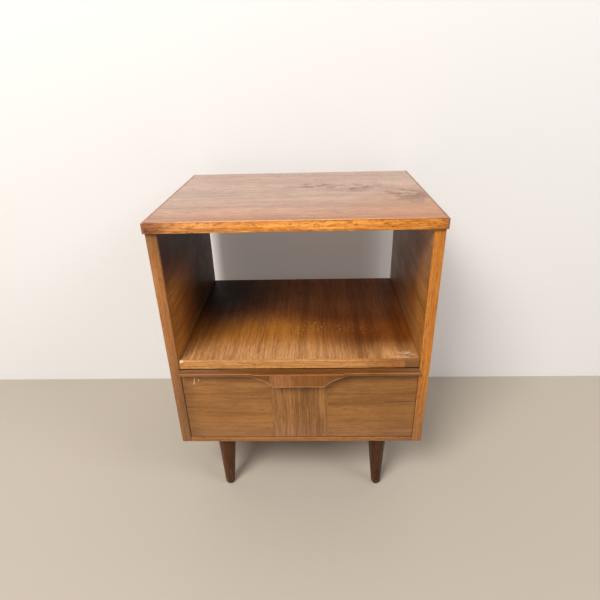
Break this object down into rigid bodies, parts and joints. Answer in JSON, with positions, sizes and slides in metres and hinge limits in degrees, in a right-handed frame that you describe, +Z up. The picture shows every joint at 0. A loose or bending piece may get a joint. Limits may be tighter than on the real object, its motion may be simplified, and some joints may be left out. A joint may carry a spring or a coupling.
{
  "type": "side table with drawer",
  "caption": "Mid-century bedside table in walnut veneer: overhanging top, open cubby without a back, one sliding drawer with a shaped wooden pull, and tapered splayed legs.",
  "frame": {"origin": "on the floor, in the middle of the object's footprint", "axes": "+Z up; the front with the drawer faces -Y; +X is to the right seen from the front"},
  "size_m": [0.508, 0.4014, 0.633],
  "materials": {
    "top_veneer": "worn satin lacquer on walnut veneer, grain running left to right",
    "case_veneer": "satin lacquer on walnut veneer",
    "edge_wood": "satin lacquer on orange-brown solid edging",
    "patch_wood": "dull grey-brown repair in the edging",
    "front_veneer": "worn satin lacquer on walnut veneer",
    "pull_wood": "satin lacquer on solid walnut",
    "leg_wood": "dark stained and lacquered turned wood",
    "drawer_wood": "plain pale hardwood, thinly sealed",
    "runner_wood": "bare hardwood, waxed by use",
    "hardboard": "plain brown hardboard",
    "plated_steel": "dull zinc plate",
    "nylon": "off-white moulded nylon"
  },
  "bodies": {
    "case": {"top_panel": "top_veneer", "side_panel_left": "case_veneer", "side_panel_right": "case_veneer", "shelf_panel": "case_veneer", "bottom_panel": "case_veneer", "top_front_band": "edge_wood", "top_left_band": "edge_wood", "top_right_band": "edge_wood", "side_front_band_left": "edge_wood", "side_front_band_right": "edge_wood", "shelf_front_band": "edge_wood", "bottom_front_band": "edge_wood", "shelf_band_patch": "patch_wood", "drawer_bay_back": "hardboard", "drawer_runner_left": "runner_wood", "drawer_runner_right": "runner_wood", "drawer_kicker_left": "runner_wood", "drawer_kicker_right": "runner_wood", "drawer_stop_left": "runner_wood", "drawer_stop_right": "runner_wood", "centre_guide_rail": "runner_wood", "leg_front_left": "leg_wood", "leg_front_right": "leg_wood", "leg_back_left": "leg_wood", "leg_back_right": "leg_wood", "leg_bolt_front_left": "plated_steel", "leg_plate_front_left": "plated_steel", "plate_screw_front_left_1": "plated_steel", "plate_screw_front_left_2": "plated_steel", "leg_bolt_front_right": "plated_steel", "leg_plate_front_right": "plated_steel", "plate_screw_front_right_1": "plated_steel", "plate_screw_front_right_2": "plated_steel", "leg_bolt_back_left": "plated_steel", "leg_plate_back_left": "plated_steel", "plate_screw_back_left_1": "plated_steel", "plate_screw_back_left_2": "plated_steel", "leg_bolt_back_right": "plated_steel", "leg_plate_back_right": "plated_steel", "plate_screw_back_right_1": "plated_steel", "plate_screw_back_right_2": "plated_steel", "leg_glide_front_left": "nylon", "leg_glide_front_right": "nylon", "leg_glide_back_left": "nylon", "leg_glide_back_right": "nylon"},
    "drawer": {"drawer_front": "drawer_wood", "drawer_side_left": "drawer_wood", "drawer_side_right": "drawer_wood", "drawer_back": "drawer_wood", "drawer_bottom": "drawer_wood", "front_veneer_left": "front_veneer", "front_veneer_centre": "front_veneer", "front_veneer_right": "front_veneer", "drawer_pull": "pull_wood", "pull_screw_left": "plated_steel", "pull_screw_right": "plated_steel", "drawer_guide": "nylon"}
  },
  "joints": [
    {"name": "drawer_slide", "type": "slide", "parent": "case", "child": "drawer", "axis": [0, -1, 0], "range_m": [0, 0.25]}
  ]
}
